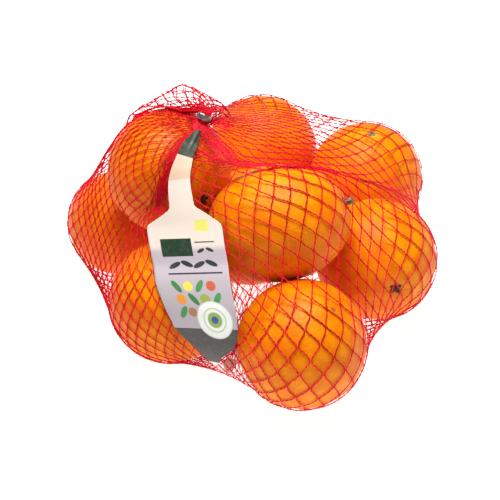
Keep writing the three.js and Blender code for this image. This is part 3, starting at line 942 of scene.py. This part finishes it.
NET_PIECES = 4
net_paths = chain_paths(drape_net())
net_paths = press_under_label(net_paths.reshape(-1, 3)).reshape(net_paths.shape)
net_paths = push_out(net_paths, STRAND_CLEAR)
net_paths[..., 2] = np.maximum(net_paths[..., 2], STRAND_CLEAR)
net_shares = zip(np.array_split(net_paths, NET_PIECES), np.array_split(tightness(net_paths), NET_PIECES))
for number, (share_of_paths, tight) in enumerate(net_shares):
    make_netting(f"netting_{number + 1}", share_of_paths, "net_of_oranges", tight=tight)

# ---- The loose tails beyond the clips, and the bundled necks inside them ----

TAIL = dict(
    lean=40, angle_from=42, angle_to=144, behind=7, tuck=14, root_rise=6, ruffle=1.6, ruffles=7, rows=15,
    columns=21, row_step=4.1, past_hem=1.1, layers_apart=2.2, crumple=1.0, clear=2.0, hem_points=90,
)
# The hem's height over the top left fruit, by the angle round that fruit from the right.
TAIL_HEM = np.array(
    ((40, 11), (51, 13.5), (66, 13.2), (75, 14.8), (82, 15.4), (94, 9.2), (107, 4.6), (125, 3.4), (145, -1))
)
UNDER_TAIL = dict(angle_from=40, angle_to=140, reach=9, drop=1.5, rows=3, columns=26)
NECK_STRANDS = 44
NECK_STRAND = dict(radius=0.42, sides=5, uneven=0.12)
GOLDEN_TURN = 2.39996


def flat_tube_columns(rows, columns):
    """For each knot of a tube pressed flat: how far across it is, from 0 to 1, and how far it is to
    the front or back, from 1 to -1."""
    round_tube = (np.arange(columns)[None] + 0.5 * (np.arange(rows) % 2)[:, None]) / columns
    across = 1 - np.abs(2 * round_tube - 1)
    front = np.sin(2 * np.pi * round_tube)
    return np.clip(across, 0, 1), front


TAIL_RISING = np.array([0, math.sin(math.radians(TAIL["lean"])), math.cos(math.radians(TAIL["lean"]))])
TAIL_BACKWARD = np.array([0, math.cos(math.radians(TAIL["lean"])), -math.sin(math.radians(TAIL["lean"]))])
TAIL_SIDE = np.array([1.0, 0, 0])


def hem_place(across):
    """The hem of the spread tail, from its right end to its left one, and the way out from the fruit there."""
    centre, radius = fruit_form("top_left")[:2]
    angle = TAIL["angle_from"] + (TAIL["angle_to"] - TAIL["angle_from"]) * across
    turn = np.radians(angle)[..., None]
    outward = np.cos(turn) * TAIL_SIDE + np.sin(turn) * TAIL_RISING
    height = np.interp(angle, TAIL_HEM[:, 0], TAIL_HEM[:, 1])
    ruffle = TAIL["behind"] + TAIL["ruffle"] * np.sin(2 * np.pi * TAIL["ruffles"] * across)
    ruffle = ruffle + TAIL["tuck"] * smooth_step(across, 0.78, 1)
    place = centre + outward * (radius + 1 + height)[..., None] + TAIL_BACKWARD * ruffle[..., None]
    return place, outward


def crumpled(points, places, amount):
    """Moves points about by smooth noise, each by its own amount."""
    for way in (TAIL_BACKWARD, TAIL_RISING, TAIL_SIDE):
        points = points + way * (amount * TAIL["crumple"] * ripple(places, 6, 0.6, 1.6))[..., None]
    return points


def top_tail_net():
    """Rows of knots of the flattened tail, from the clip out past the hem."""
    direction = unit(TOP_GATHER["along"])
    root_side = unit(TAIL_SIDE - direction * (TAIL_SIDE @ direction)) * (NECK_RADIUS - 0.8)
    root = TOP_GATHER["at"] + direction * (CLIP["start"] + CLIP["length"] - 0.8)
    across, front = flat_tube_columns(TAIL["rows"], TAIL["columns"])
    end, outward = hem_place(across)
    start = root + root_side * (1 - 2 * across)[..., None]
    bend = start + direction * TAIL["root_rise"]
    reach = np.linalg.norm(end - start, axis=-1, keepdims=True)
    run = np.arange(TAIL["rows"])[:, None, None] * TAIL["row_step"]
    part = np.minimum(run / reach, 1)
    points = (1 - part) ** 2 * start + 2 * part * (1 - part) * bend + part**2 * end
    points = points + outward * np.maximum(run - reach, 0)
    points = points + TAIL_BACKWARD * (part[..., 0] * front * TAIL["layers_apart"])[..., None]
    return crumpled(points, np.stack([across * 14, part[..., 0] * 7, front * 2], -1), part[..., 0])


def cut_at_hem(paths):
    """How many points of each path lie inside the hem."""
    centre, radius = fruit_form("top_left")[:2]
    arm = paths - centre
    right, up = arm @ TAIL_SIDE, arm @ TAIL_RISING
    height = np.hypot(right, up) - radius - 1
    hem = np.interp(np.degrees(np.arctan2(up, right)), TAIL_HEM[:, 0], TAIL_HEM[:, 1]) + TAIL["past_hem"]
    outside = height > hem
    outside[:, :4] = False
    first = outside.argmax(1)
    return np.where(outside.any(1), first, paths.shape[1])


def hem_paths():
    """Two strands along the folded edge of the tail."""
    across = np.linspace(0, 1, TAIL["hem_points"])
    place, outward = hem_place(across)
    paths = []
    for apart in (-1, 1):
        places = np.stack([across * 14, np.full_like(across, 7), np.full_like(across, 2 * apart)], -1)
        paths.append(crumpled(place + TAIL_BACKWARD * apart, places, np.full_like(across, 0.6)))
    return np.array(paths)


def under_tail_net():
    """Rows of knots of the short, flat lower tail."""
    direction = unit(UNDER_GATHER["along"])
    root = UNDER_GATHER["at"] + direction * (CLIP["start"] + CLIP["length"] - 0.5)
    across, front = flat_tube_columns(UNDER_TAIL["rows"], UNDER_TAIL["columns"])
    angle = np.radians(UNDER_TAIL["angle_from"] + (UNDER_TAIL["angle_to"] - UNDER_TAIL["angle_from"]) * across)
    spoke = np.stack([np.cos(angle), np.sin(angle), np.zeros_like(angle)], -1)
    part = (np.arange(UNDER_TAIL["rows"]) / (UNDER_TAIL["rows"] - 1))[:, None, None]
    points = root + spoke * (1 + UNDER_TAIL["reach"] * part) + np.array([0, 0, -UNDER_TAIL["drop"]]) * part
    points[..., 2] += front * 0.5
    return points


def neck_paths(gather):
    """Short strands packed side by side through a clip."""
    axis, across, other = gather_axes(gather)
    number = np.arange(NECK_STRANDS)
    turn = number * GOLDEN_TURN
    reach = (NECK_RADIUS - 0.7) * np.sqrt((number + 0.5) / NECK_STRANDS)
    spoke = np.cos(turn)[:, None] * across + np.sin(turn)[:, None] * other
    steps = np.linspace(NECK_RISE - 1.5, CLIP["start"] + CLIP["length"] + 0.6, 8)
    paths = gather["at"] + (spoke * reach[:, None])[:, None] + axis * steps[:, None]
    return paths + NECK_STRAND["uneven"] * rng.standard_normal(paths.shape)


tail_paths = chain_paths(top_tail_net())
tail_kept = cut_at_hem(tail_paths)
make_netting("tail_netting", push_out(tail_paths, TAIL["clear"]), "top_tail", tail_kept)
make_netting("tail_hem", push_out(hem_paths(), TAIL["clear"]), "top_tail")
make_netting("under_tail_netting", chain_paths(under_tail_net()), "under_tail")
for gather_name, gather in (("top", TOP_GATHER), ("under", UNDER_GATHER)):
    vertices, quads = tubes(neck_paths(gather), NECK_STRAND["radius"], NECK_STRAND["sides"])
    neck = new_object(gather_name + "_neck", vertices, quads, strand)
    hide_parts("net_of_oranges")

# ---- The crimped clips ----

CLIP_TURNS = 72
CLIP_LAP = 0.8
CLIP_CRIMP = 0.10
CLIP_WARP = 0.12


def make_clip(name, gather, node):
    """A flat metal band bent round the neck to an oval, its ends lapped and its sides crimped in."""
    axis, across, other = gather_axes(gather)
    turn = np.arange(CLIP_TURNS) / CLIP_TURNS * 2 * np.pi
    crimp = 1 - CLIP_CRIMP * np.abs(np.sin(2 * turn)) ** 3
    lap = CLIP_LAP * np.clip(turn / (2 * np.pi) * 4 - 3, 0, 1) * np.clip((2 * np.pi - turn) / 0.25, 0, 1)
    half = CLIP["length"] / 2
    side = half - 0.5
    ring = ((-0.5, -half), (0, -side), (0, side), (-0.5, half))
    ring += ((-1.2, half), (-1.7, side), (-1.7, -side), (-1.2, -half))
    middle = gather["at"] + axis * (CLIP["start"] + half)
    rows = []
    for inward, along in ring:
        wide = (CLIP["width"] / 2 + inward - CLIP_LAP / 2) * crimp + lap * 0.5
        high = (CLIP["height"] / 2 + inward * 0.8) * crimp + lap * 0.5
        oval = (np.cos(turn) * wide)[:, None] * across + (np.sin(turn) * high)[:, None] * other
        rows.append(middle + oval + axis * (along + CLIP_WARP * np.sin(5 * turn))[:, None])
    points = np.concatenate(rows)
    faces = []
    for row in range(len(ring)):
        here, below = row * CLIP_TURNS, (row + 1) % len(ring) * CLIP_TURNS
        for column in range(CLIP_TURNS):
            after = (column + 1) % CLIP_TURNS
            faces.append((here + column, here + after, below + after, below + column))
    piece = new_object(name, points, faces, metal)
    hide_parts(node)


make_clip("top_clip_band", TOP_GATHER, "top_clip")
make_clip("under_clip_band", UNDER_GATHER, "under_clip")

# ---- Stage ----


def area_light(name, at, target, size, watts):
    light = bpy.data.lights.new(name, "AREA")
    light.size = size
    light.energy = watts
    lamp = bpy.data.objects.new(name, light)
    lamp.location = at
    lamp.rotation_euler = (Vector(target) - Vector(at)).to_track_quat("-Z", "Y").to_euler()
    bpy.context.scene.collection.objects.link(lamp)


CAMERA_RISE = math.radians(40)
CAMERA_REACH = 0.85
CAMERA_TARGET = Vector((1.0, -14.9, 50)) * MM
FRAME_PIXELS = 500
FOCAL_PIXELS = 1375.6
FRAME_SHIFT = -10 / FRAME_PIXELS

camera_data = bpy.data.cameras.new("camera")
camera = bpy.data.objects.new("camera", camera_data)
bpy.context.scene.collection.objects.link(camera)
camera_data.lens = FOCAL_PIXELS / FRAME_PIXELS * camera_data.sensor_width
camera_data.shift_y = FRAME_SHIFT
back = Vector((0, -math.cos(CAMERA_RISE), math.sin(CAMERA_RISE)))
camera.location = CAMERA_TARGET + back * CAMERA_REACH
camera.rotation_euler = (-back).to_track_quat("-Z", "Y").to_euler()
bpy.context.scene.camera = camera

FLOOR_GLOW = 0.92
FLOOR_SIZE = 6
SKY_GLOW = 0.09
AIM = (0, 0, 0.05)
KEY_LIGHT = dict(at=(-0.05, 0.12, 1.0), target=AIM, size=0.5, watts=16.4)
FILL_LIGHT = dict(at=(0.35, -0.8, 0.7), target=AIM, size=0.7, watts=0.45)


def floor_material():
    """A pale, softly lit studio table."""
    nodes = Nodes("floor_white", 0.6)
    color = nodes.mix(nodes.fade(nodes.noise(300), 0.3, 0.7, 0, 1), (0.90, 0.90, 0.90), (0.93, 0.93, 0.93))
    return nodes.finish(color, Emission_Color=(1, 1, 1, 1), Emission_Strength=FLOOR_GLOW)


bpy.ops.mesh.primitive_plane_add(size=FLOOR_SIZE)
floor = bpy.context.object
floor.name = "floor"
floor.data.materials.append(floor_material())

world = bpy.data.worlds.new("studio")
bpy.context.scene.world = world
world.use_nodes = True
world.node_tree.nodes["Background"].inputs["Color"].default_value = (1, 1, 1, 1)
world.node_tree.nodes["Background"].inputs["Strength"].default_value = SKY_GLOW
bpy.context.scene.view_settings.view_transform = "Standard"
area_light("key", **KEY_LIGHT)
area_light("fill", **FILL_LIGHT)

bpy.context.view_layer.update()
